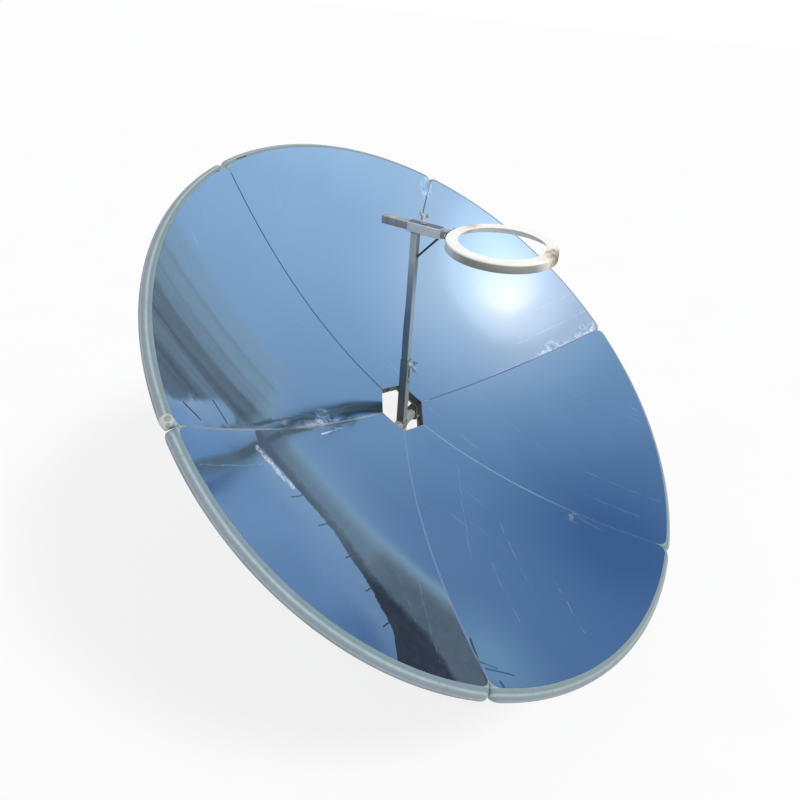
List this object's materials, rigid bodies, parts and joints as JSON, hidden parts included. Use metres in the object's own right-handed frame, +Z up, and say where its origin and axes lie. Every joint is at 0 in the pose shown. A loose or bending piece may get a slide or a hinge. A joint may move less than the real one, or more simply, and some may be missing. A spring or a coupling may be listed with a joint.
{
  "type": "folding solar cooker",
  "caption": "Parabolic mirror dish of folding petals on a tilting, turning stand, with a telescopic post and sliding arm that hold a pot ring at the focus.",
  "frame": {"origin": "on the floor, at the middle of the underside of the rubber foot below the column", "axes": "+Z up along the column and the post; +X horizontal, the way the mirror leans and the arm points; +Y along the tilt axle"},
  "size_m": [1.2742, 1.5454, 1.1318],
  "materials": {
    "mirror_film": "glossy silvered film",
    "petal_sheet": "satin grey-green paint",
    "galvanised_steel": "dull zinc coat",
    "tube_steel": "worn grey paint",
    "zinc_hardware": "bright zinc plate",
    "ring_enamel": "off-white, heat stained",
    "bracket_paint": "dull olive grey",
    "stand_paint": "satin grey paint",
    "rubber": "matt black",
    "black_plastic": "matt black"
  },
  "bodies": {
    "base": {"column": "stand_paint", "beam_lower": "stand_paint", "base_nut": "zinc_hardware", "centre_foot": "rubber", "foot_1": "rubber", "foot_2": "rubber"},
    "folding_beam": {"beam_upper": "stand_paint", "foot_3": "rubber", "foot_4": "rubber"},
    "swivel_clamp": {"swivel_knob": "black_plastic"},
    "head": {"stand_head": "galvanised_steel", "post_outer": "galvanised_steel"},
    "tilt_clamp": {"tilt_knob": "black_plastic"},
    "post_clamp": {"post_wing_bolt": "zinc_hardware"},
    "post": {"post_inner": "tube_steel", "head_sleeve": "tube_steel", "head_brace": "tube_steel"},
    "arm_clamp": {"arm_wing_bolt": "zinc_hardware"},
    "arm": {"arm_tube": "galvanised_steel", "arm_end_cap": "black_plastic", "ring_bracket": "bracket_paint", "pot_ring": "ring_enamel", "ring_bolt_1": "zinc_hardware", "ring_bolt_2": "zinc_hardware"},
    "dish": {"petal_1": "petal_sheet", "petal_2": "petal_sheet", "petal_3": "petal_sheet", "petal_4": "petal_sheet", "petal_5": "petal_sheet", "petal_6": "petal_sheet", "mirror_film_1": "mirror_film", "mirror_film_2": "mirror_film", "mirror_film_3": "mirror_film", "mirror_film_4": "mirror_film", "mirror_film_5": "mirror_film", "mirror_film_6": "mirror_film", "hub_ring": "galvanised_steel", "tilt_plate": "galvanised_steel", "pivot_ear": "galvanised_steel", "hub_bolt_1": "zinc_hardware", "hub_bolt_2": "zinc_hardware", "hub_bolt_3": "zinc_hardware", "hub_bolt_4": "zinc_hardware", "hub_bolt_5": "zinc_hardware", "hub_bolt_6": "zinc_hardware", "seam_bolt_1": "zinc_hardware", "seam_bolt_2": "zinc_hardware", "seam_bolt_3": "zinc_hardware", "seam_bolt_4": "zinc_hardware", "seam_bolt_5": "zinc_hardware", "seam_bolt_6": "zinc_hardware", "ear_bolt_1": "zinc_hardware", "ear_bolt_2": "zinc_hardware", "ear_bolt_3": "zinc_hardware", "ear_bolt_4": "zinc_hardware", "axle": "zinc_hardware", "axle_nut": "zinc_hardware"}
  },
  "joints": [
    {"name": "base_fold", "type": "hinge", "parent": "base", "child": "folding_beam", "pos_m": [0, 0, 0.0503], "axis": [0, 0, 1], "range_deg": [0, 82]},
    {"name": "azimuth_turn", "type": "hinge", "parent": "base", "child": "head", "pos_m": [0, 0, 0.3], "axis": [0, 0, 1], "continuous": true},
    {"name": "dish_tilt", "type": "hinge", "parent": "head", "child": "dish", "pos_m": [0, 0, 0.4466], "axis": [0, 1, 0], "range_deg": [-34.6, 15.4]},
    {"name": "post_slide", "type": "slide", "parent": "head", "child": "post", "axis": [0, 0, 1], "range_m": [-0.05, 0.08]},
    {"name": "arm_slide", "type": "slide", "parent": "post", "child": "arm", "axis": [1, 0, 0], "range_m": [-0.014, 0.045]},
    {"name": "swivel_clamp_turn", "type": "hinge", "parent": "base", "child": "swivel_clamp", "pos_m": [-0.0215, 0, 0.3063], "axis": [-1, 0, 0], "range_deg": [-180, 180]},
    {"name": "tilt_clamp_turn", "type": "hinge", "parent": "head", "child": "tilt_clamp", "pos_m": [0, -0.0633, 0.3616], "axis": [0, -1, 0], "range_deg": [-180, 180]},
    {"name": "post_clamp_turn", "type": "hinge", "parent": "head", "child": "post_clamp", "pos_m": [0.0115, 0, 0.645], "axis": [1, 0, 0], "range_deg": [-180, 180]},
    {"name": "arm_clamp_turn", "type": "hinge", "parent": "post", "child": "arm_clamp", "pos_m": [0.02, 0, 1.0441], "axis": [0, 0, 1], "range_deg": [-180, 180]}
  ]
}
